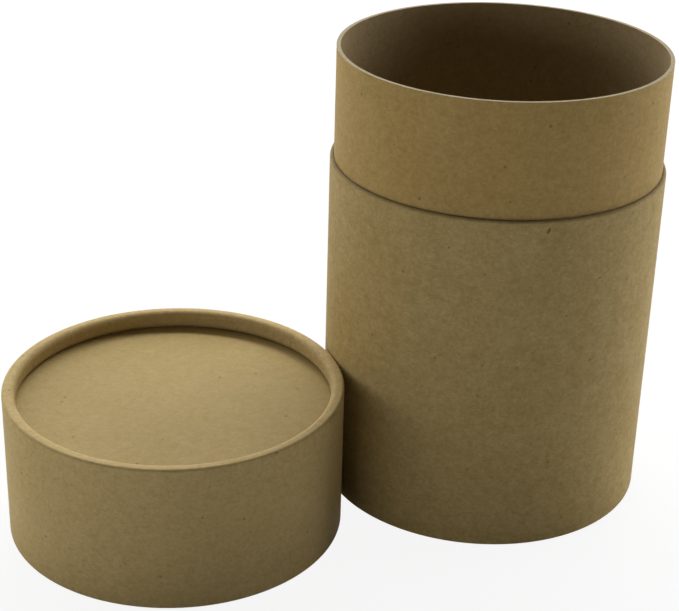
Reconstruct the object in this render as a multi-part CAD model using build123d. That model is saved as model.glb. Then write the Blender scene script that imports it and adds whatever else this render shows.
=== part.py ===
"""Round paperboard tube container: a body with a telescoping neck, and its lid standing beside it.

Millimetres, +Z up. The origin is on the body's axis, on the plane that the body and the lid stand on.
The lid stands mouth down on the -X side of the body.
"""

import os

from build123d import *

# Driving sizes of the container
outer_diameter = 100.0  # outside of the outer tube
closed_height = 150.0  # from the foot to the top of the lid when the lid is home
lid_height = 45.0
outer_wall = 1.1
neck_wall = 1.2
lid_wall = 1.1
base_disc_thickness = 2.0
lid_disc_thickness = 2.0

# Rolled edge: the board folds inwards, runs down as a leg and curls back so that its tail lies on the disc
fold_radius = 0.15  # inside of the tight bend at the wall
bend_radius = 0.7  # inside of the bends above and below the leg
roll_land = 0.8  # flat pressed between the fold and the leg
roll_leg = 2.0  # straight run down the inner side of the roll

# Softened corners
mouth_edge_radius = 0.25  # on both corners of the lid's cut end
rim_round_share = 0.2  # of the neck's wall, on both corners of its rim
shoulder_round_share = 0.85  # of the outer wall, on the outer corner of the end that the neck comes out of
disc_edge_radius = 0.3

# Clearances
neck_clearance = 0.1  # all round between neck and outer tube
lid_clearance = 0.35  # all round between lid and neck
disc_clearance = 0.1  # all round between a disc and its tube
tail_clearance = 0.3  # from the end of a roll's tail to the bore of its tube
head_room = 3.8  # from the neck's rim to the lid's disc when the lid is home
standing_gap = 0.3  # between the body and the lid that stands beside it

# Radii follow from the outer tube inwards and then from the neck outwards to the lid
outer_radius = outer_diameter / 2
outer_bore_radius = outer_radius - outer_wall
neck_radius = outer_bore_radius - neck_clearance
neck_bore_radius = neck_radius - neck_wall
lid_bore_radius = neck_radius + lid_clearance
lid_radius = lid_bore_radius + lid_wall
rim_radius = rim_round_share * neck_wall
shoulder_radius = shoulder_round_share * outer_wall


def roll_depth(wall):
    """Depth of a rolled edge of a board, from its crest to the face of the disc."""
    return roll_leg + 2 * (bend_radius + wall)


# Heights
outer_height = closed_height - lid_height
floor_low = roll_depth(outer_wall)
floor_high = floor_low + base_disc_thickness
lid_disc_high = lid_height - roll_depth(lid_wall)
lid_disc_low = lid_disc_high - lid_disc_thickness
neck_rise = lid_disc_low - head_room
neck_length = outer_height + neck_rise - floor_high

# Where the lid stands
lid_place = Pos(-(outer_radius + standing_gap + lid_radius), 0, 0)


def turned(outline):
    """Solid of revolution about Z of an outline given as radius and height."""
    return revolve(Plane.XZ * outline, axis=Axis.Z)


def cut_corners(outline, height):
    """Corners of a cut end that lies at a height, from the bore outwards."""
    return outline.vertices().filter_by_position(Axis.Y, height, height).sort_by(Axis.X)


def rolled_board(radius, wall, height):
    """Section of a tube with its rolled edge at height 0 and its cut end at the top."""
    fold_outside = fold_radius + wall
    bend_outside = bend_radius + wall
    bore = radius - wall
    fold = bore - fold_radius
    leg_bend = fold - roll_land
    leg_back = leg_bend - bend_radius
    leg_front = leg_back - wall
    tail_face = roll_depth(wall)
    tail_bend = tail_face - bend_outside
    tail_back = tail_face - wall
    tail_end = bore - tail_clearance
    board = [
        Line((radius, height), (radius, fold_outside)),
        CenterArc((fold, fold_outside), fold_outside, 0, -90),
        Line((fold, 0), (leg_bend, 0)),
        CenterArc((leg_bend, bend_outside), bend_outside, -90, -90),
        Line((leg_front, bend_outside), (leg_front, tail_bend)),
        CenterArc((leg_bend, tail_bend), bend_outside, 180, -90),
        Line((leg_bend, tail_face), (tail_end, tail_face)),
        Line((tail_end, tail_face), (tail_end, tail_back)),
        Line((tail_end, tail_back), (leg_bend, tail_back)),
        CenterArc((leg_bend, tail_bend), bend_radius, 90, 90),
        Line((leg_back, tail_bend), (leg_back, bend_outside)),
        CenterArc((leg_bend, bend_outside), bend_radius, 180, 90),
        Line((leg_bend, wall), (fold, wall)),
        CenterArc((fold, fold_outside), fold_radius, -90, 90),
        Line((bore, fold_outside), (bore, height)),
        Line((bore, height), (radius, height)),
    ]
    return make_face(board)


def plain_board(radius, wall, height):
    """Section of a plain tube standing on height 0."""
    return Pos(radius - wall, 0) * Rectangle(wall, height, align=(Align.MIN, Align.MIN))


def disc(radius, thickness):
    """Board disc lying on z = 0, its edge softened on both faces."""
    blank = Cylinder(radius, thickness, align=(Align.CENTER, Align.CENTER, Align.MIN))
    return fillet(blank.edges().filter_by(GeomType.CIRCLE), disc_edge_radius)


outer_board = rolled_board(outer_radius, outer_wall, outer_height)
outer_tube = turned(fillet(cut_corners(outer_board, outer_height)[-1], shoulder_radius))
base_disc = Pos(0, 0, floor_low) * disc(outer_bore_radius - disc_clearance, base_disc_thickness)
neck_board = plain_board(neck_radius, neck_wall, neck_length)
neck_tube = Pos(0, 0, floor_high) * turned(fillet(cut_corners(neck_board, neck_length), rim_radius))

lid_upright = Pos(0, 0, lid_height) * Rot(180, 0, 0)
lid_board = rolled_board(lid_radius, lid_wall, lid_height)
lid_tube = lid_place * lid_upright * turned(fillet(cut_corners(lid_board, lid_height), mouth_edge_radius))
lid_disc = lid_place * Pos(0, 0, lid_disc_low) * disc(lid_bore_radius - disc_clearance, lid_disc_thickness)

pieces = {
    "outer_tube": outer_tube,
    "base_disc": base_disc,
    "neck_tube": neck_tube,
    "lid_tube": lid_tube,
    "lid_disc": lid_disc,
}

os.makedirs("parts", exist_ok=True)
for name, solid in pieces.items():
    export_step(solid, f"parts/{name}.step")
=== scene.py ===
"""Looks of a round kraft paperboard tube container and its lid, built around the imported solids."""

import logging
import math
from dataclasses import dataclass, field, replace
from enum import Enum
from typing import Any

import bpy
from mathutils import Matrix, Vector


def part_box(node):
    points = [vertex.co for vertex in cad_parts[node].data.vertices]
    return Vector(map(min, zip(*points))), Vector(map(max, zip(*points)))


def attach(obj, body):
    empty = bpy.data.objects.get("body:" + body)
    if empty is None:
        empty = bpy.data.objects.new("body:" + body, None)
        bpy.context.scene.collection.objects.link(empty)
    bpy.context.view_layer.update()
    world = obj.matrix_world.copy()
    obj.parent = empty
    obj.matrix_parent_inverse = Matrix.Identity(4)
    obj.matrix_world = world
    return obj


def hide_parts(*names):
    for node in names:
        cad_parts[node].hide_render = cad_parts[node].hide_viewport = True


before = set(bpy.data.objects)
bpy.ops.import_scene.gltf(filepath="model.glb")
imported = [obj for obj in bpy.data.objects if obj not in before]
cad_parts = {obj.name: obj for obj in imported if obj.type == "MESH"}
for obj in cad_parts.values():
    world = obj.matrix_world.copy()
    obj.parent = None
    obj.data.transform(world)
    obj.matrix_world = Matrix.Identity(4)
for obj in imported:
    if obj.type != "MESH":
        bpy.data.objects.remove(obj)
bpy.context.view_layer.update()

log = logging.getLogger("tube_container")

MM = 0.001
TURN = 2 * math.pi
UV_NAME = "UVMap"
CUT_NAME = "cut"
PAINTED_SHADE_NAME = "painted_shade"
SAME_PLACE = 0.0001  # millimetres
ROLL_PAINTED_SHADE = 0.4  # share of painted shade on the leg of a roll, for the crevice under it
WHITE = (1.0, 1.0, 1.0, 1.0)

Colour = tuple[float, float, float]
Place = tuple[float, float, float]


def span(node: str) -> tuple[float, float]:
    """Read how high the lowest and highest points of a solid are.

    Args:
        node: name of the solid's node.

    Returns:
        The two heights in millimetres.
    """
    low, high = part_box(node)
    return low.z / MM, high.z / MM


class Zone(Enum):
    """What a stretch of a board's outline is, as weights for wrap, pleat, cut and painted shade in hollows.
    """

    WRAP = (1.0, 0.0, 0.0, 0.0)
    ROLL = (0.0, 1.0, 0.0, ROLL_PAINTED_SHADE)
    CUT = (0.0, 0.0, 1.0, 0.0)
    BORE = (0.0, 0.0, 0.0, 1.0)
    FACE = (0.0, 0.0, 0.0, 0.0)


class RollEnd(Enum):
    """The end of a tube at which its board is rolled inwards."""

    FOOT = "foot"
    TOP = "top"


class Wiring:
    """Adds nodes to a tree and links them in short calls.

    The numbers are those of a Mix node's sockets when it mixes colours.
    """

    MIX_INPUTS = (0, 6, 7)
    MIX_RESULT = 2

    def __init__(self, tree: bpy.types.NodeTree) -> None:
        """Start from an empty tree.

        Args:
            tree: the node tree to fill.
        """
        self.tree = tree
        tree.nodes.clear()

    def feed(self, socket: bpy.types.NodeSocket, value: Any) -> None:
        """Link a socket to another node's output, or set its value.

        Args:
            socket: the input to feed.
            value: an output socket, a node, whose first output is used, or a plain value.
        """
        if isinstance(value, bpy.types.Node):
            value = value.outputs[0]
        if isinstance(value, bpy.types.NodeSocket):
            self.tree.links.new(value, socket)
        else:
            socket.default_value = value

    def node(
        self, kind: str, inputs: dict[str | int, Any] | None = None, **settings: Any,
    ) -> bpy.types.Node:
        """Add one node.

        Args:
            kind: the node's type name.
            inputs: what to feed to its inputs, by name or number.
            settings: the node's own properties.

        Returns:
            The new node.
        """
        made = self.tree.nodes.new(kind)
        for name, value in settings.items():
            setattr(made, name, value)
        for key, value in (inputs or {}).items():
            self.feed(made.inputs[key], value)
        return made

    def math(self, operation: str, *values: Any) -> bpy.types.NodeSocket:
        """Add a math node.

        Args:
            operation: the name of the operation.
            values: what to feed to its inputs, in order.

        Returns:
            Its result.
        """
        return self.node("ShaderNodeMath", dict(enumerate(values)), operation=operation).outputs[0]

    def vector(self, operation: str, inputs: dict[int, Any]) -> bpy.types.NodeSocket:
        """Add a vector math node.

        Args:
            operation: the name of the operation.
            inputs: what to feed to its inputs, by number.

        Returns:
            Its vector result.
        """
        return self.node("ShaderNodeVectorMath", inputs, operation=operation).outputs[0]

    def ramp(
        self, value: Any, low: Any, high: Any, to_low: Any = 0.0, to_high: Any = 1.0,
    ) -> bpy.types.NodeSocket:
        """Map a value smoothly from one range to another.

        Args:
            value: the value to map.
            low: start of the range that it comes from.
            high: end of that range.
            to_low: result at the start.
            to_high: result at the end.

        Returns:
            The mapped value.
        """
        made = self.node("ShaderNodeMapRange", dict(enumerate((value, low, high, to_low, to_high))))
        made.interpolation_type = "SMOOTHSTEP"
        return made.outputs[0]

    def noise(
        self, vector: Any, scale: Any, detail: float = 2.0, roughness: float = 0.5,
    ) -> bpy.types.NodeSocket:
        """Add a noise texture.

        Args:
            vector: where it is read.
            scale: how fine it is.
            detail: how many finer layers it has.
            roughness: how strong those layers are.

        Returns:
            Its value, about one half on average.
        """
        inputs = {"Vector": vector, "Scale": scale, "Detail": detail, "Roughness": roughness}
        return self.node("ShaderNodeTexNoise", inputs).outputs[0]

    def mix(self, share: Any, first: Any, second: Any) -> bpy.types.NodeSocket:
        """Mix two colours.

        Args:
            share: how much of the second colour there is.
            first: the colour at 0.
            second: the colour at 1.

        Returns:
            The mixed colour.
        """
        made = self.node("ShaderNodeMix", data_type="RGBA")
        for number, value in zip(self.MIX_INPUTS, (share, first, second)):
            self.feed(made.inputs[number], value)
        return made.outputs[self.MIX_RESULT]


@dataclass(frozen=True)
class Unevenness:
    """One layer of uneven tone and height on the paper."""

    scale: float
    swing: float
    height: float
    detail: float = 2.0
    roughness: float = 0.55


@dataclass(frozen=True)
class Fibres:
    """Short fibres that lie in a few directions, in degrees, and how they tint the paper.

    The noise that makes them is shifted for each direction, stretched, and cut off softly.
    """

    angles: tuple[float, ...]
    share: float
    shade: Colour
    shift: tuple[float, float] = (0.3, 0.1)
    stretch: tuple[float, float] = (0.35, 3.2)
    fade: tuple[float, float] = (0.62, 0.74)
    roughness: float = 0.4


@dataclass(frozen=True)
class Flecks:
    """Small bark flecks strewn over cells of the paper, and how they and the large ones tint it.

    Cells are counted per millimetre. The empty value is the share of them without a fleck.
    """

    share: float = 0.92
    shade: Colour = (0.40, 0.38, 0.32)
    cells: float = 0.085
    empty: float = 0.35
    reach: float = 0.040
    strength: float = 0.6
    sway: float = 0.5
    sway_scale: float = 2.2
    large_fade: tuple[float, float] = (0.6, 1.3)


@dataclass(frozen=True)
class BarkFleck:
    """One large fleck of bark in the paper, by its place on the sheet, in millimetres and degrees."""

    around: float
    along: float
    length: float
    width: float
    lean: float


RAW_BOARD: Colour = (0.335, 0.270, 0.160)
# Painted shade: the outer tube's cut ends, the shoulder under the neck among them, take this near-black
# colour for the shade the neck throws on the shoulder.
SHOULDER_SHADE_BOARD: Colour = (0.17, 0.12, 0.055)
# Painted shade: a darker paper colour for the bore of a tube and the leg of a roll, standing in for the
# shade inside the neck and in the crevice under the lid's roll.
PAINTED_SHADE_PAPER: Colour = (0.300, 0.220, 0.110)


@dataclass(frozen=True)
class KraftFinish:
    """Uncoated kraft paper on board: clouding, felt, fibres, flecks, the raw plies of a cut end, and a
    darker colour painted as shade inside tubes and rolls.

    Patterns are read from the sheet's own map and sized in millimetres.
    """

    name: str
    ground: Colour
    seed: float
    mottling: float
    painted_shade: Colour = PAINTED_SHADE_PAPER
    raw_board_and_shade: Colour = RAW_BOARD
    bark: tuple[BarkFleck, ...] = ()
    seed_step: Place = (137.0, 71.0, 13.0)
    roughness: float = 0.70
    roughness_swing: float = 0.012
    roughness_tones: tuple[float, float] = (0.93, 1.07)
    specular: float = 0.14
    layers: tuple[Unevenness, ...] = (
        Unevenness(scale=0.045, swing=0.24, height=0.0),
        Unevenness(scale=0.34, swing=0.42, height=0.6, detail=3.0),
        Unevenness(scale=0.8, swing=0.52, height=0.6),
        Unevenness(scale=1.6, swing=0.27, height=0.7),
        Unevenness(scale=3.4, swing=0.07, height=0.4),
    )
    swing_tint: Colour = (0.88, 1.0, 1.6)
    pale: Fibres = Fibres((20.0, 80.0, 140.0), share=0.26, shade=(1.26, 1.30, 1.46))
    dark: Fibres = Fibres((50.0, 110.0, 170.0), share=0.20, shade=(0.74, 0.70, 0.55))
    flecks: Flecks = Flecks()
    pale_height: float = 0.3
    bump_depth: float = 0.06
    bump_strength: float = 0.22
    ply_count: float = 3.4
    ply_swing: float = 0.06

    def material(self) -> bpy.types.Material:
        """Build the material.

        Returns:
            A node material that reads the sheet's own map in metres.
        """
        made = bpy.data.materials.new(self.name)
        made.use_nodes = True
        wires = Wiring(made.node_tree)
        sheet = wires.node("ShaderNodeUVMap", uv_map=UV_NAME)
        sheet_mm = wires.vector("SCALE", {0: sheet, 3: 1 / MM})
        start = tuple(step * self.seed for step in self.seed_step)
        spot = wires.vector("ADD", {0: sheet_mm, 1: start})

        tone, height = self._unevenness(wires, spot)
        pale = self._fibres(wires, spot, self.pale)
        dark = self._fibres(wires, spot, self.dark)
        fleck = self._flecks(wires, spot, sheet_mm)
        # Painted shade: the bore and the leg of a roll darken towards this colour, for the shade in
        # hollows.
        shaded = wires.node("ShaderNodeAttribute", attribute_name=PAINTED_SHADE_NAME).outputs["Fac"]
        ground = wires.mix(shaded, self.ground + (1.0,), self.painted_shade + (1.0,))
        swing = wires.math("SUBTRACT", tone, 1.0)
        paper = wires.vector("MULTIPLY_ADD", {0: swing, 1: self.swing_tint, 2: (1.0, 1.0, 1.0)})
        paper = wires.vector("MULTIPLY", {0: ground, 1: paper})
        for mask, mark in ((pale, self.pale), (dark, self.dark), (fleck, self.flecks)):
            marked = wires.vector("MULTIPLY", {0: paper, 1: mark.shade})
            paper = wires.mix(wires.math("MULTIPLY", mask, mark.share), paper, marked)
        cut = wires.node("ShaderNodeAttribute", attribute_name=CUT_NAME).outputs["Fac"]
        colour = wires.mix(cut, paper, self._cut_board(wires, sheet_mm, tone))

        height = wires.math("ADD", height, wires.math("MULTIPLY", pale, self.pale_height))
        bump = wires.node("ShaderNodeBump", {
            "Height": height, "Strength": self.bump_strength, "Distance": self.bump_depth * MM,
        })
        dull, keen = self.roughness + self.roughness_swing, self.roughness - self.roughness_swing
        rough = wires.ramp(tone, *self.roughness_tones, dull, keen)
        skin = wires.node("ShaderNodeBsdfPrincipled", {
            "Base Color": colour, "Roughness": rough, "Normal": bump, "Specular IOR Level": self.specular,
        })
        wires.node("ShaderNodeOutputMaterial", {0: skin})
        return made

    def _unevenness(self, wires: Wiring, spot: Any) -> tuple[Any, Any]:
        """Add the layers of unevenness up.

        Args:
            wires: the material's tree.
            spot: the place on the sheet in millimetres.

        Returns:
            The tone as a factor about 1, and the height of the surface.
        """
        tone: Any = 1.0
        height: Any = 0.0
        for layer in self.layers:
            noise = wires.noise(spot, layer.scale, layer.detail, layer.roughness)
            centred = wires.math("SUBTRACT", noise, 0.5)
            tone = wires.math("ADD", tone, wires.math("MULTIPLY", centred, self.mottling * layer.swing))
            height = wires.math("ADD", height, wires.math("MULTIPLY", noise, layer.height))
        return tone, height

    @staticmethod
    def _fibres(wires: Wiring, spot: Any, fibres: Fibres) -> Any:
        """Make short fibres that lie in a few directions.

        Args:
            wires: the material's tree.
            spot: the place on the sheet in millimetres.
            fibres: their directions and form.

        Returns:
            A mask of the fibres.
        """
        mask: Any = 0.0
        for angle in fibres.angles:
            turned = wires.node("ShaderNodeMapping", {
                "Vector": spot, "Location": (fibres.shift[0] * angle, fibres.shift[1] * angle, 0.0),
                "Rotation": (0.0, 0.0, math.radians(angle)), "Scale": (*fibres.stretch, 1.0),
            })
            streak = wires.ramp(wires.noise(turned, 1.0, 1.0, fibres.roughness), *fibres.fade)
            mask = wires.math("MAXIMUM", mask, streak)
        return mask

    def _flecks(self, wires: Wiring, spot: Any, sheet_mm: Any) -> Any:
        """Make sparse dark bark flecks, and the large ones at their places.

        Args:
            wires: the material's tree.
            spot: the shifted place on the sheet in millimetres.
            sheet_mm: the sheet's map in millimetres.

        Returns:
            A mask of the flecks.
        """
        flecks = self.flecks
        warp = wires.node("ShaderNodeTexNoise", {"Vector": spot, "Scale": flecks.sway_scale, "Detail": 2.0})
        sway = (flecks.sway, flecks.sway, 0.0)
        swayed = wires.vector("MULTIPLY_ADD", {0: warp.outputs[1], 1: sway, 2: spot})
        cells = wires.node(
            "ShaderNodeTexVoronoi", {"Vector": swayed, "Scale": flecks.cells}, voronoi_dimensions="2D")
        lot = wires.node("ShaderNodeSeparateColor", {0: cells.outputs["Color"]})
        reach = wires.ramp(lot.outputs[0], flecks.empty, 1.0, 0.0, flecks.reach)
        inside = wires.math("GREATER_THAN", reach, cells.outputs["Distance"])
        mask = wires.math("MULTIPLY", inside, flecks.strength)
        for fleck in self.bark:
            local = wires.node("ShaderNodeMapping", {
                "Vector": sheet_mm, "Location": (fleck.around, fleck.along, 0.0),
                "Rotation": (0.0, 0.0, math.radians(fleck.lean)),
                "Scale": (fleck.width / 2, fleck.length / 2, 1.0),
            }, vector_type="TEXTURE")
            away = wires.node("ShaderNodeVectorMath", {0: local}, operation="LENGTH").outputs["Value"]
            mask = wires.math("MAXIMUM", mask, wires.ramp(away, *flecks.large_fade, 1.0, 0.0))
        return mask

    def _cut_board(self, wires: Wiring, sheet_mm: Any, tone: Any) -> Any:
        """Make the plies that a cut end shows, in raw board colour, and on the outer tube in painted shade.

        Args:
            wires: the material's tree.
            sheet_mm: the sheet's map in millimetres.
            tone: the paper's uneven tone.

        Returns:
            The colour of the cut board.
        """
        along = wires.node("ShaderNodeSeparateXYZ", {0: sheet_mm}).outputs[1]
        plies = wires.math("SINE", wires.math("MULTIPLY", along, TURN * self.ply_count))
        ridges = wires.math("ADD", 1.0, wires.math("MULTIPLY", plies, self.ply_swing))
        edge_tone = wires.math("MULTIPLY", tone, ridges)
        return wires.vector("SCALE", {0: self.raw_board_and_shade, 3: edge_tone})


class Paper(Enum):
    """The papers of the container."""

    # The outer tube's cut ends show painted shade instead of raw board.
    OUTER = KraftFinish(
        "outer_kraft_paper", ground=(0.433, 0.316, 0.126), seed=1.0, mottling=0.88, raw_board_and_shade=SHOULDER_SHADE_BOARD,
        bark=(BarkFleck(around=150.35, along=2.0, length=1.9, width=0.9, lean=-25.0),),
    )
    # The lid's paper is lighter than the body's as painted light: it stands in for the extra light that
    # falls on the lid's front.
    LID = KraftFinish("lid_kraft_paper", ground=(0.525, 0.388, 0.165), seed=2.0, mottling=0.66)
    NECK = KraftFinish("neck_kraft_paper", ground=(0.433, 0.294, 0.102), seed=3.0, mottling=0.72)
    DISC = KraftFinish("disc_kraft_paper", ground=(0.428, 0.316, 0.124), seed=4.0, mottling=0.46)


@dataclass(frozen=True)
class Stop:
    """One point of a board's outline, in millimetres, with the weights of what it belongs to."""

    radius: float
    height: float
    wrap: float
    pleat: float
    cut: float
    painted_shade: float


@dataclass(frozen=True)
class CutEnd:
    """Softened corners of a cut end, in millimetres, and how bare its board is."""

    outer_radius: float
    inner_radius: float
    bareness: float = 1.0
    inner_steps: int = 6
    flat_steps: int = 4
    outer_steps: int = 8


@dataclass
class Outline:
    """Outline of a turned board, walked with the outside on its left, in millimetres."""

    stops: list[Stop] = field(default_factory=list)
    hold: float = 0.3

    def put(self, radius: float, height: float, zone: Zone, share: float = 1.0) -> None:
        """Add one point.

        Args:
            radius: distance from the axis.
            height: height above the floor.
            zone: what the point belongs to.
            share: how much of the zone's weights it takes.
        """
        self.stops.append(Stop(radius, height, *(share * weight for weight in zone.value)))

    def run(self, radius: float, height: float, zone: Zone, steps: int, share: float = 1.0) -> None:
        """Go straight from the last point, with a short step at each end of a long run.

        Args:
            radius: where the run ends.
            height: where the run ends.
            zone: what the run belongs to.
            steps: how many even steps it has.
            share: how much of the zone's weights it takes.
        """
        start = self.stops[-1]
        length = math.dist((start.radius, start.height), (radius, height))
        places = {step / steps for step in range(1, steps + 1)}
        if length / steps > 2 * self.hold:
            places |= {self.hold / length, 1 - self.hold / length}
        for place in sorted(places):
            self.put(
                start.radius + place * (radius - start.radius),
                start.height + place * (height - start.height), zone, share,
            )

    def bend(self, centre: tuple[float, float], radius: float, start: float, sweep: float,
             zone: Zone, steps: int, fade: tuple[float, float] = (1.0, 1.0)) -> None:
        """Go round an arc.

        Args:
            centre: radius and height of its centre.
            radius: radius of the arc.
            start: angle at which it starts, in degrees.
            sweep: how far it goes, in degrees.
            zone: what the arc belongs to.
            steps: how many points it gets after its first.
            fade: share of the zone's weights at its start and end.
        """
        for step in range(steps + 1):
            place = step / steps
            angle = math.radians(start + place * sweep)
            self.put(
                centre[0] + radius * math.cos(angle), centre[1] + radius * math.sin(angle), zone,
                fade[0] + place * (fade[1] - fade[0]),
            )

    def cut_end(self, bore: float, radius: float, height: float, end: CutEnd) -> None:
        """Go over a cut end from the bore to the outside.

        Args:
            bore: inner radius of the tube.
            radius: outer radius of the tube.
            height: height of the end.
            end: how its corners are softened.
        """
        inner, outer, bare = end.inner_radius, end.outer_radius, end.bareness
        self.bend((bore + inner, height - inner), inner, 180, -90, Zone.CUT, end.inner_steps, (0.0, bare))
        self.run(radius - outer, height, Zone.CUT, end.flat_steps, bare)
        self.bend((radius - outer, height - outer), outer, 90, -90, Zone.CUT, end.outer_steps, (bare, 0.0))

    def flipped(self, height: float) -> "Outline":
        """Turn the outline upside down.

        Args:
            height: the height that becomes the floor.

        Returns:
            The outline, walked the other way so that its outside stays on its left.
        """
        turned = [replace(stop, height=height - stop.height) for stop in self.stops]
        return Outline(turned[::-1])

    def mesh(self, name: str) -> bpy.types.Mesh:
        """Turn the outline into a line mesh in metres that carries its weights.

        Args:
            name: name of the mesh.

        Returns:
            The mesh, with one point for each stop.
        """
        stops = [stop for number, stop in enumerate(self.stops)
                 if number == 0 or self._apart(stop, self.stops[number - 1])]
        count = len(stops)
        made = bpy.data.meshes.new(name)
        made.from_pydata(
            [(stop.radius * MM, 0.0, stop.height * MM) for stop in stops],
            [(number, number + 1) for number in range(count - 1)], [],
        )
        lengths = [0.0]
        for first, second in zip(stops, stops[1:]):
            step = math.dist((first.radius, first.height), (second.radius, second.height))
            lengths.append(lengths[-1] + step * MM)
        columns = {
            "wrap": [stop.wrap for stop in stops], "pleat": [stop.pleat for stop in stops],
            CUT_NAME: [stop.cut for stop in stops], PAINTED_SHADE_NAME: [stop.painted_shade for stop in stops],
            "along": lengths,
        }
        for key, values in columns.items():
            made.attributes.new(key, "FLOAT", "POINT").data.foreach_set("value", values)
        outward = made.attributes.new("outward", "FLOAT_VECTOR", "POINT")
        closed = not self._apart(stops[0], stops[-1])
        for number in range(count):
            before = stops[number - 1] if number else stops[-2 if closed else 0]
            after = stops[number + 1] if number < count - 1 else stops[1 if closed else -1]
            step = Vector((after.radius - before.radius, after.height - before.height)).normalized()
            outward.data[number].vector = (-step.y, 0.0, step.x)
        return made

    @staticmethod
    def _apart(first: Stop, second: Stop) -> bool:
        """Whether two points lie at different places."""
        return math.dist((first.radius, first.height), (second.radius, second.height)) > SAME_PLACE


class TurnedBoard:
    """The node tree that turns a board's outline about its axis.

    The lap's lip and flat are shares of its width. Scales are those of noise on a ring of radius 1.
    """

    LIP_SHARE = 0.02
    FLAT_SHARE = 0.4
    WAVE_SCALE = 1.6
    WAVES_PER_METRE = 14.0
    CREASE_SCALE = 7.0
    CREASE_WIDTH = 0.035
    PATCH_SCALE = 2.3
    PATCH_FADE = (0.45, 0.62)
    FRAY_SCALE = 55.0
    FRAYS_PER_METRE = 60.0
    MERGE_REACH = 0.001
    SOCKETS = (
        ("Outline", "NodeSocketGeometry"), ("Columns", "NodeSocketInt"), ("Rows", "NodeSocketInt"),
        ("Centre", "NodeSocketVector"), ("Sheet Radius", "NodeSocketFloat"),
        ("Flat Sheet", "NodeSocketBool"), ("Seam Angle", "NodeSocketFloat"),
        ("Lap Height", "NodeSocketFloat"), ("Lap Share", "NodeSocketFloat"),
        ("Wave Height", "NodeSocketFloat"), ("Crown Height", "NodeSocketFloat"),
        ("Pleat Depth", "NodeSocketFloat"), ("Fray Height", "NodeSocketFloat"),
        ("Seed", "NodeSocketFloat"), ("Finish", "NodeSocketMaterial"),
    )

    def __init__(self) -> None:
        """Build the tree once."""
        self.tree = bpy.data.node_groups.new("turned_board", "GeometryNodeTree")
        self.keys: dict[str, str] = {}
        for name, kind in self.SOCKETS:
            socket = self.tree.interface.new_socket(name, in_out="INPUT", socket_type=kind)
            self.keys[name] = socket.identifier
        self.tree.interface.new_socket("Board", in_out="OUTPUT", socket_type="NodeSocketGeometry")
        self._fill()

    def _fill(self) -> None:
        """Wire the tree: a grid of columns and rows is laid on the turned outline and closed."""
        wires = Wiring(self.tree)
        given = wires.node("NodeGroupInput").outputs
        outline = given["Outline"]
        columns, rows = given["Columns"], given["Rows"]
        grid = wires.node("GeometryNodeMeshGrid", {
            "Size X": 1.0, "Size Y": 1.0, "Vertices X": wires.math("ADD", columns, 1.0), "Vertices Y": rows,
        })
        place = wires.node("ShaderNodeSeparateXYZ", {0: wires.node("GeometryNodeInputPosition")})
        across, up = (wires.math("ADD", socket, 0.5) for socket in (place.outputs[0], place.outputs[1]))
        column = wires.math("ROUND", wires.math("MULTIPLY", across, columns))
        row = wires.math("ROUND", wires.math("MULTIPLY", up, wires.math("SUBTRACT", rows, 1.0)))

        def read(key: str | None, data_type: str) -> bpy.types.NodeSocket:
            """Read a value of the outline at this row.

            Args:
                key: the value's name, or None for the place of the point.
                data_type: the value's type.

            Returns:
                The value.
            """
            source = (wires.node("GeometryNodeInputPosition") if key is None else
                      wires.node("GeometryNodeInputNamedAttribute", {"Name": key}, data_type=data_type))
            inputs = {"Geometry": outline, "Value": source, "Index": row}
            return wires.node("GeometryNodeSampleIndex", inputs, data_type=data_type).outputs[0]

        section = wires.node("ShaderNodeSeparateXYZ", {0: read(None, "FLOAT_VECTOR")})
        outward = wires.node("ShaderNodeSeparateXYZ", {0: read("outward", "FLOAT_VECTOR")})
        wrap, pleat, along = (read(key, "FLOAT") for key in ("wrap", "pleat", "along"))
        cut, painted_shade = read(CUT_NAME, "FLOAT"), read(PAINTED_SHADE_NAME, "FLOAT")

        # The last column closes the ring under the lip of the lap
        last = wires.math("COMPARE", column, columns, 0.5)
        step = wires.math("DIVIDE", column, wires.math("SUBTRACT", columns, 1.0))
        lip = wires.math("MULTIPLY", given["Lap Share"], self.LIP_SHARE)
        inner = wires.math("MULTIPLY", wires.math("MINIMUM", step, 1.0), wires.math("SUBTRACT", 1.0, lip))
        turn = wires.math("ADD", inner, wires.math("MULTIPLY", last, lip))
        angle = wires.math("SUBTRACT", given["Seam Angle"], wires.math("MULTIPLY", turn, TURN))
        east, north = wires.math("COSINE", angle), wires.math("SINE", angle)

        lap_start = wires.math("SUBTRACT", 1.0, given["Lap Share"])
        lap_full = wires.math("SUBTRACT", 1.0, wires.math("MULTIPLY", given["Lap Share"], self.FLAT_SHARE))
        lap = wires.ramp(turn, lap_start, lap_full)
        lap = wires.math("MULTIPLY", lap, wires.math("SUBTRACT", 1.0, last))
        lift = wires.math("MULTIPLY", wires.math("MULTIPLY", lap, wrap), given["Lap Height"])

        # Slow waves in the wall
        ring = wires.node("ShaderNodeCombineXYZ", {0: east, 1: north, 2: given["Seed"]})
        tall = wires.math("MULTIPLY", section.outputs[2], self.WAVES_PER_METRE)
        tall = wires.math("ADD", tall, given["Seed"])
        slow = wires.node("ShaderNodeCombineXYZ", {0: east, 1: north, 2: tall})
        wave = wires.math("SUBTRACT", wires.noise(slow, self.WAVE_SCALE, 1.0), 0.5)
        wave = wires.math("MULTIPLY", wave, wires.math("MULTIPLY", given["Wave Height"], 2.0))

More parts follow.
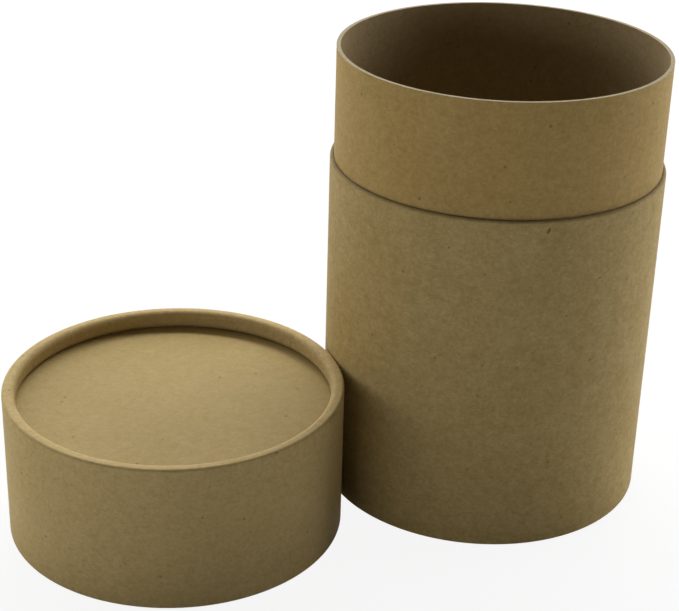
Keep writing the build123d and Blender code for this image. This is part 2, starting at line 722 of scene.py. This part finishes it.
        # Pleats where the roll gathers the paper
        crease = wires.math("SUBTRACT", wires.noise(ring, self.CREASE_SCALE, 2.0), 0.5)
        crease = wires.ramp(wires.math("ABSOLUTE", crease), 0.0, self.CREASE_WIDTH, 1.0, 0.0)
        patch = wires.ramp(wires.noise(ring, self.PATCH_SCALE, 1.0), *self.PATCH_FADE)
        dent = wires.math("MULTIPLY", wires.math("MULTIPLY", crease, patch), given["Pleat Depth"])
        lift = wires.math("SUBTRACT", lift, wires.math("MULTIPLY", dent, pleat))

        # Fraying of the cut ends
        finely = wires.math("MULTIPLY", along, self.FRAYS_PER_METRE)
        fine = wires.node("ShaderNodeCombineXYZ", {0: east, 1: north, 2: finely})
        fray = wires.math("SUBTRACT", wires.noise(fine, self.FRAY_SCALE, 2.0), 0.5)
        fray = wires.math("MULTIPLY", fray, wires.math("MULTIPLY", given["Fray Height"], 2.0))
        lift = wires.math("ADD", lift, wires.math("MULTIPLY", fray, cut))

        # Where the point goes
        inward = wires.math("DIVIDE", section.outputs[0], given["Sheet Radius"])
        crown = wires.math("SUBTRACT", 1.0, wires.math("MULTIPLY", inward, inward))
        crown = wires.math("MULTIPLY", given["Crown Height"], crown)
        reach = wires.math("ADD", section.outputs[0], wires.math("MULTIPLY", wave, inward))
        reach = wires.math("ADD", reach, wires.math("MULTIPLY", outward.outputs[0], lift))
        height = wires.math("ADD", wires.math("ADD", section.outputs[2], crown),
                            wires.math("MULTIPLY", outward.outputs[2], lift))
        east_reach, north_reach = wires.math("MULTIPLY", reach, east), wires.math("MULTIPLY", reach, north)
        spot = wires.node("ShaderNodeCombineXYZ", {0: east_reach, 1: north_reach, 2: height})
        spot = wires.vector("ADD", {0: spot, 1: given["Centre"]})

        # The sheet's own map, in metres
        around = wires.math("MULTIPLY", wires.math("MULTIPLY", turn, TURN), given["Sheet Radius"])
        rolled_map = wires.node("ShaderNodeCombineXYZ", {0: around, 1: along})
        flat_map = wires.node("ShaderNodeCombineXYZ", {0: east_reach, 1: north_reach})
        sheet_map = wires.node(
            "GeometryNodeSwitch", {0: given["Flat Sheet"], 1: rolled_map, 2: flat_map}, input_type="VECTOR")

        board: Any = grid.outputs[0]
        board = wires.node(
            "GeometryNodeStoreNamedAttribute", {"Geometry": board, "Name": UV_NAME, "Value": sheet_map},
            data_type="FLOAT2", domain="CORNER")
        for name, value in ((CUT_NAME, cut), (PAINTED_SHADE_NAME, painted_shade)):
            board = wires.node(
                "GeometryNodeStoreNamedAttribute", {"Geometry": board, "Name": name, "Value": value},
                data_type="FLOAT", domain="POINT")
        board = wires.node("GeometryNodeSetPosition", {"Geometry": board, "Position": spot})
        board = wires.node(
            "GeometryNodeMergeByDistance", {"Geometry": board, "Distance": self.MERGE_REACH * MM})
        board = wires.node("GeometryNodeSetShadeSmooth", {"Geometry": board, "Shade Smooth": True})
        board = wires.node("GeometryNodeRealizeInstances", {"Geometry": board})
        board = wires.node("GeometryNodeSetMaterial", {"Geometry": board, "Material": given["Finish"]})
        wires.node("NodeGroupOutput", {0: board})

    def turn(self, name: str, outline: Outline, sizes: dict[str, Any]) -> bpy.types.Object:
        """Turn an outline into a plain mesh object.

        Args:
            name: name of the piece.
            outline: its outline.
            sizes: the tree's named inputs.

        Returns:
            The piece, at the origin, with its place in its mesh.
        """
        line = outline.mesh(name)
        piece = bpy.data.objects.new(name, line)
        bpy.context.scene.collection.objects.link(piece)
        modifier = piece.modifiers.new("turned_board", "NODES")
        modifier.node_group = self.tree
        for key, value in {**sizes, "Rows": len(line.vertices)}.items():
            modifier[self.keys[key]] = value
        graph = bpy.context.evaluated_depsgraph_get()
        board = bpy.data.meshes.new_from_object(piece.evaluated_get(graph))
        piece.modifiers.remove(modifier)
        board.materials.clear()
        board.materials.append(sizes["Finish"])
        board.polygons.foreach_set("material_index", [0] * len(board.polygons))
        piece.data = board
        board.name = name
        bpy.data.meshes.remove(line)
        return piece


@dataclass(frozen=True)
class RolledEdge:
    """Section of a rolled edge, in millimetres."""

    fold_radius: float = 0.15
    pressed_radius: float = 0.85
    bend_radius: float = 0.7
    land: float = 0.8
    leg: float = 2.0
    tail_clearance: float = 0.3
    fold_steps: int = 8
    bend_steps: int = 10
    leg_steps: int = 5
    tail_steps: int = 2
    inside_bend_steps: int = 5
    inside_fold_steps: int = 4


@dataclass
class RolledTube:
    """A tube of board with one end rolled inwards and the other cut, in millimetres."""

    name: str
    node: str
    radius: float
    wall: float
    height: float
    rolled: RollEnd
    end: CutEnd
    edge: RolledEdge = RolledEdge()
    wall_steps: int = 26

    def outline(self) -> Outline:
        """Walk the outline of the board, from the cut end down the outside, round the roll and up the bore.

        Returns:
            The closed outline.
        """
        edge = self.edge
        pressed = edge.pressed_radius
        fold_outside = edge.fold_radius + self.wall
        bend_outside = edge.bend_radius + self.wall
        bore = self.radius - self.wall
        fold = bore - edge.fold_radius
        leg_bend = fold - edge.land
        leg_back = leg_bend - edge.bend_radius
        leg_front = leg_back - self.wall
        tail_bend = bend_outside + edge.leg
        tail_face = tail_bend + bend_outside
        tail_back = tail_face - self.wall
        tail_end = bore - edge.tail_clearance

        made = Outline()
        made.put(self.radius, self.height - self.end.outer_radius, Zone.WRAP, 0.0)
        made.run(self.radius, pressed, Zone.WRAP, self.wall_steps)
        made.bend((self.radius - pressed, pressed), pressed, 0, -90, Zone.WRAP, edge.fold_steps, (1.0, 0.0))
        leg_top, leg_foot = (leg_bend, bend_outside), (leg_bend, tail_bend)
        made.bend(leg_top, bend_outside, -90, -90, Zone.ROLL, edge.bend_steps, (0.0, 1.0))
        made.run(leg_front, tail_bend, Zone.ROLL, edge.leg_steps)
        # Painted shade deepens round the foot of the leg, into the crevice under the roll.
        made.bend(leg_foot, bend_outside, 180, -90, Zone.BORE, edge.bend_steps, (ROLL_PAINTED_SHADE, 1.0))
        made.run(tail_end, tail_face, Zone.BORE, edge.tail_steps)
        made.run(tail_end, tail_back, Zone.CUT, edge.tail_steps)
        made.run(leg_bend, tail_back, Zone.BORE, edge.tail_steps)
        made.bend(leg_foot, edge.bend_radius, 90, 90, Zone.BORE, edge.inside_bend_steps)
        made.bend(leg_top, edge.bend_radius, 180, 90, Zone.BORE, edge.inside_bend_steps)
        made.bend((fold, fold_outside), edge.fold_radius, 270, 90, Zone.BORE, edge.inside_fold_steps)
        made.run(bore, self.height - self.end.inner_radius, Zone.BORE, self.wall_steps)
        made.cut_end(bore, self.radius, self.height, self.end)
        return made if self.rolled is RollEnd.FOOT else made.flipped(self.height)


@dataclass
class PlainTube:
    """A plain tube of board with a cut end at the top, in millimetres."""

    name: str
    node: str
    radius: float
    wall: float
    low: float
    high: float
    end: CutEnd
    wall_steps: int = 28
    foot_steps: int = 4

    def outline(self) -> Outline:
        """Walk the outline of the board, from the cut end down the outside and back up the bore.

        Returns:
            The closed outline.
        """
        bore = self.radius - self.wall
        made = Outline()
        made.put(self.radius, self.high - self.end.outer_radius, Zone.WRAP, 0.0)
        made.run(self.radius, self.low + made.hold, Zone.WRAP, self.wall_steps)
        made.put(self.radius, self.low, Zone.WRAP, 0.0)
        made.run(bore, self.low, Zone.CUT, self.foot_steps)
        made.run(bore, self.high - self.end.inner_radius, Zone.BORE, self.wall_steps)
        made.cut_end(bore, self.radius, self.high, self.end)
        return made


@dataclass
class BoardDisc:
    """A flat disc of board, in millimetres."""

    name: str
    node: str
    radius: float
    low: float
    high: float
    edge_radius: float = 0.3
    face_steps: int = 36
    edge_steps: int = 3
    corner_steps: int = 5

    def outline(self) -> Outline:
        """Walk the outline from the middle of the top over the edge to the middle of the underside.

        Returns:
            The open outline.
        """
        soft = self.edge_radius
        flat = self.radius - soft
        made = Outline()
        made.put(0.0, self.high, Zone.FACE)
        made.run(flat, self.high, Zone.FACE, self.face_steps)
        made.bend((flat, self.high - soft), soft, 90, -90, Zone.CUT, self.corner_steps, (0.0, 1.0))
        made.run(self.radius, self.low + soft, Zone.CUT, self.edge_steps)
        made.bend((flat, self.low + soft), soft, 0, -90, Zone.CUT, self.corner_steps, (1.0, 0.0))
        made.run(0.0, self.low, Zone.FACE, self.face_steps)
        return made


@dataclass(frozen=True)
class Handwork:
    """How far a board departs from a true turned shape, in millimetres and degrees."""

    seam_angle: float
    seed: float
    lap_height: float = 0.12
    lap_width: float = 8.0
    wave_height: float = 0.05
    crown_height: float = 0.0
    pleat_depth: float = 0.14
    fray_height: float = 0.03


Board = RolledTube | PlainTube | BoardDisc


@dataclass
class SubAssembly:
    """Boards that share one axis and one body of the frame."""

    body: str
    columns: int = 384
    pieces: dict[str, bpy.types.Object] = field(default_factory=dict)

    def turn(
        self, lathe: TurnedBoard, board: Board, material: bpy.types.Material, handwork: Handwork,
    ) -> None:
        """Turn one board and keep it under its node's name.

        Args:
            lathe: the tree that turns outlines.
            board: the board and its sizes.
            material: its finish.
            handwork: how far it departs from a true shape.
        """
        sizes = {
            "Columns": self.columns, "Centre": (self.axis() * MM, 0.0, 0.0),
            "Sheet Radius": board.radius * MM, "Flat Sheet": isinstance(board, BoardDisc),
            "Seam Angle": math.radians(handwork.seam_angle), "Lap Height": handwork.lap_height * MM,
            "Lap Share": handwork.lap_width / (TURN * board.radius),
            "Wave Height": handwork.wave_height * MM, "Crown Height": handwork.crown_height * MM,
            "Pleat Depth": handwork.pleat_depth * MM, "Fray Height": handwork.fray_height * MM,
            "Seed": handwork.seed, "Finish": material,
        }
        self.pieces[board.node] = lathe.turn(board.name, board.outline(), sizes)

    def axis(self) -> float:
        """Give how far along X the axis stands, in millimetres."""
        return 0.0

    def dress(self) -> None:
        """Seat every piece on its body, in place of its solid."""
        for node, piece in self.pieces.items():
            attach(piece, self.body)
            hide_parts(node)
            log.info("%s stands for %s with %d faces", piece.name, node, len(piece.data.polygons))


@dataclass
class ContainerBody(SubAssembly):
    """The body: outer tube with a rolled foot, base disc and telescoping neck, in millimetres."""

    body: str = "container"
    outer_radius: float = 50.0
    outer_wall: float = 1.1
    neck_wall: float = 1.2
    neck_clearance: float = 0.1
    disc_clearance: float = 0.1
    shoulder: CutEnd = CutEnd(outer_radius=0.935, inner_radius=0.0)
    rim: CutEnd = CutEnd(outer_radius=0.10, inner_radius=0.14)
    outer_handwork: Handwork = Handwork(seam_angle=74.0, seed=1.3)
    neck_handwork: Handwork = Handwork(seam_angle=52.0, seed=4.1)
    base_handwork: Handwork = Handwork(seam_angle=0.0, seed=7.7, wave_height=0.0, crown_height=0.15)

    @property
    def bore(self) -> float:
        """Inner radius of the outer tube."""
        return self.outer_radius - self.outer_wall

    @property
    def neck_radius(self) -> float:
        """Outer radius of the neck."""
        return self.bore - self.neck_clearance

    def build(self, lathe: TurnedBoard, papers: dict[Paper, bpy.types.Material]) -> None:
        """Turn the three boards of the body.

        Args:
            lathe: the tree that turns outlines.
            papers: the finishes as materials.
        """
        outer = RolledTube("outer_tube_board", "outer_tube", self.outer_radius, self.outer_wall,
                           span("outer_tube")[1], RollEnd.FOOT, self.shoulder)
        neck = PlainTube("neck_tube_board", "neck_tube", self.neck_radius, self.neck_wall,
                         *span("neck_tube"), self.rim)
        base = BoardDisc("base_disc_board", "base_disc", self.bore - self.disc_clearance,
                         *span("base_disc"))
        self.turn(lathe, outer, papers[Paper.OUTER], self.outer_handwork)
        self.turn(lathe, neck, papers[Paper.NECK], self.neck_handwork)
        self.turn(lathe, base, papers[Paper.DISC], self.base_handwork)


@dataclass
class Lid(SubAssembly):
    """The lid: tube with a rolled top and a recessed disc, in millimetres."""

    body: str = "lid"
    container: ContainerBody = field(default_factory=ContainerBody)
    wall: float = 1.1
    neck_clearance: float = 0.35
    disc_clearance: float = 0.1
    standing_gap: float = 0.3
    mouth: CutEnd = CutEnd(outer_radius=0.25, inner_radius=0.25)
    tube_handwork: Handwork = Handwork(seam_angle=98.0, seed=2.6)
    disc_handwork: Handwork = Handwork(seam_angle=0.0, seed=5.2, wave_height=0.0, crown_height=0.15)

    @property
    def bore(self) -> float:
        """Inner radius of the lid."""
        return self.container.neck_radius + self.neck_clearance

    @property
    def radius(self) -> float:
        """Outer radius of the lid."""
        return self.bore + self.wall

    def axis(self) -> float:
        """Give how far along X the axis stands, in millimetres."""
        return -(self.container.outer_radius + self.standing_gap + self.radius)

    def build(self, lathe: TurnedBoard, papers: dict[Paper, bpy.types.Material]) -> None:
        """Turn the two boards of the lid.

        Args:
            lathe: the tree that turns outlines.
            papers: the finishes as materials.
        """
        tube = RolledTube("lid_tube_board", "lid_tube", self.radius, self.wall,
                          span("lid_tube")[1], RollEnd.TOP, self.mouth)
        disc = BoardDisc("lid_disc_board", "lid_disc", self.bore - self.disc_clearance, *span("lid_disc"))
        self.turn(lathe, tube, papers[Paper.LID], self.tube_handwork)
        self.turn(lathe, disc, papers[Paper.DISC], self.disc_handwork)


@dataclass(frozen=True)
class SoftBox:
    """A large soft studio light, in metres, watts and degrees.

    The azimuth is 0 straight behind the object as the camera sees it, and 90 to its right.
    """

    name: str
    azimuth: float
    elevation: float
    power: float
    width: float = 0.8
    height: float = 0.8
    distance: float = 1.3

    def hang(self, target: Place, heading: float) -> None:
        """Add the light, facing its target and out of the camera's sight.

        Args:
            target: what it faces.
            heading: the camera's heading in radians.
        """
        lamp = bpy.data.lights.new(self.name, "AREA")
        lamp.shape = "RECTANGLE"
        lamp.size, lamp.size_y = self.width, self.height
        lamp.energy = self.power
        bearing = heading + math.radians(self.azimuth)
        rise = math.radians(self.elevation)
        level = math.cos(rise)
        way = Vector((math.sin(bearing) * level, math.cos(bearing) * level, math.sin(rise)))
        made = bpy.data.objects.new(self.name, lamp)
        bpy.context.scene.collection.objects.link(made)
        made.location = Vector(target) + way * self.distance
        made.rotation_euler = way.to_track_quat("Z", "Y").to_euler()
        made.visible_camera = False


@dataclass(frozen=True)
class PhotoCamera:
    """The photograph's viewpoint, in metres and radians, with its lens and sensor in millimetres."""

    place: Place = (-0.210249, -0.425023, 0.281799)
    heading: float = 0.362478
    pitch: float = 0.44938
    roll: float = -0.02735
    lens: float = 89.074
    sensor: float = 36.0
    near: float = 0.01

    def stand(self) -> None:
        """Add the camera and make it the scene's."""
        ahead = Vector((math.sin(self.heading), math.cos(self.heading), 0.0))
        right = Vector((math.cos(self.heading), -math.sin(self.heading), 0.0))
        sight = ahead * math.cos(self.pitch) - Vector((0.0, 0.0, math.sin(self.pitch)))
        down = -ahead * math.sin(self.pitch) - Vector((0.0, 0.0, math.cos(self.pitch)))
        across = right * math.cos(self.roll) + down * math.sin(self.roll)
        under = down * math.cos(self.roll) - right * math.sin(self.roll)
        lens = bpy.data.cameras.new("photo_camera")
        lens.lens, lens.sensor_width, lens.sensor_fit = self.lens, self.sensor, "HORIZONTAL"
        lens.clip_start = self.near
        made = bpy.data.objects.new("photo_camera", lens)
        bpy.context.scene.collection.objects.link(made)
        turned = Matrix((across, -under, -sight)).transposed().to_4x4()
        made.matrix_world = Matrix.Translation(self.place) @ turned
        bpy.context.scene.camera = made


@dataclass(frozen=True)
class Studio:
    """Pale floor and white surroundings, with soft light from behind, the sides and low on the left."""

    target: Place = (-0.05, 0.0, 0.07)
    heading: float = PhotoCamera.heading
    floor_size: float = 6.0
    floor_height: float = -0.0001
    floor_tone: float = 0.76
    seen_tone: float = 0.97
    white_share: float = 0.90
    boxes: tuple[SoftBox, ...] = (
        SoftBox("strip_softbox", azimuth=8.0, elevation=48.0, power=37.6,
                width=2.2, height=0.34, distance=2.2),
        SoftBox("back_softbox", azimuth=0.0, elevation=24.0, power=6.0),
        SoftBox("back_left_softbox", azimuth=315.0, elevation=24.0, power=5.1),
        SoftBox("back_right_softbox", azimuth=45.0, elevation=24.0, power=1.7),
        SoftBox("right_softbox", azimuth=70.0, elevation=14.0, power=8.6),
        SoftBox("left_softbox", azimuth=288.0, elevation=24.0, power=2.5),
        SoftBox("front_left_softbox", azimuth=224.0, elevation=6.0, power=3.3,
                width=1.4, height=0.28),
    )

    def set_up(self) -> None:
        """Lay the floor, set the world and hang the lights."""
        self._floor()
        self._world()
        for box in self.boxes:
            box.hang(self.target, self.heading)
            log.info("%s hung", box.name)

    @staticmethod
    def _seen(wires: Wiring) -> bpy.types.NodeSocket:
        """Tell the rays that show the background from those that light the object.

        Args:
            wires: the tree to add the test to.

        Returns:
            1 for a ray that shows the background, and 0 for any other.
        """
        rays = wires.node("ShaderNodeLightPath").outputs
        seen = wires.math("MAXIMUM", rays["Is Camera Ray"], rays["Is Glossy Ray"])
        return wires.math("MAXIMUM", seen, rays["Is Transmission Ray"])

    def _floor(self) -> None:
        """Lay a pale floor that shows white and keeps a soft shadow."""
        half = self.floor_size / 2
        sheet = bpy.data.meshes.new("floor")
        corners = [(-half, -half), (half, -half), (half, half), (-half, half)]
        sheet.from_pydata([(x, y, self.floor_height) for x, y in corners], [], [(0, 1, 2, 3)])
        floor = bpy.data.objects.new("floor", sheet)
        bpy.context.scene.collection.objects.link(floor)
        paint = bpy.data.materials.new("pale_floor")
        paint.use_nodes = True
        wires = Wiring(paint.node_tree)
        seen = self._seen(wires)
        tone = wires.ramp(seen, 0.0, 1.0, self.floor_tone, self.seen_tone)
        grey = wires.node("ShaderNodeCombineColor", {0: tone, 1: tone, 2: tone})
        matt = wires.node("ShaderNodeBsdfDiffuse", {0: grey})
        white = wires.node("ShaderNodeEmission", {0: WHITE, 1: 1.0})
        share = wires.math("MULTIPLY", seen, self.white_share)
        shown = wires.node("ShaderNodeMixShader", {0: share, 1: matt, 2: white})
        wires.node("ShaderNodeOutputMaterial", {0: shown})
        sheet.materials.append(paint)

    def _world(self) -> None:
        """Set a world that shows white and adds no light of its own."""
        world = bpy.data.worlds.new("studio")
        world.use_nodes = True
        bpy.context.scene.world = world
        wires = Wiring(world.node_tree)
        sky = wires.node("ShaderNodeBackground", {0: WHITE, 1: self._seen(wires)})
        wires.node("ShaderNodeOutputWorld", {0: sky})


def main() -> None:
    """Build the body, the lid, the studio and the camera."""
    logging.basicConfig(level=logging.INFO, format="%(name)s: %(message)s")
    bpy.context.scene.view_settings.view_transform = "Standard"
    lathe = TurnedBoard()
    papers = {paper: paper.value.material() for paper in Paper}
    container = ContainerBody()
    for assembly in (container, Lid(container=container)):
        assembly.build(lathe, papers)
        assembly.dress()
    Studio().set_up()
    PhotoCamera().stand()
    log.info("sizes written")


if __name__ == "__main__":
    main()
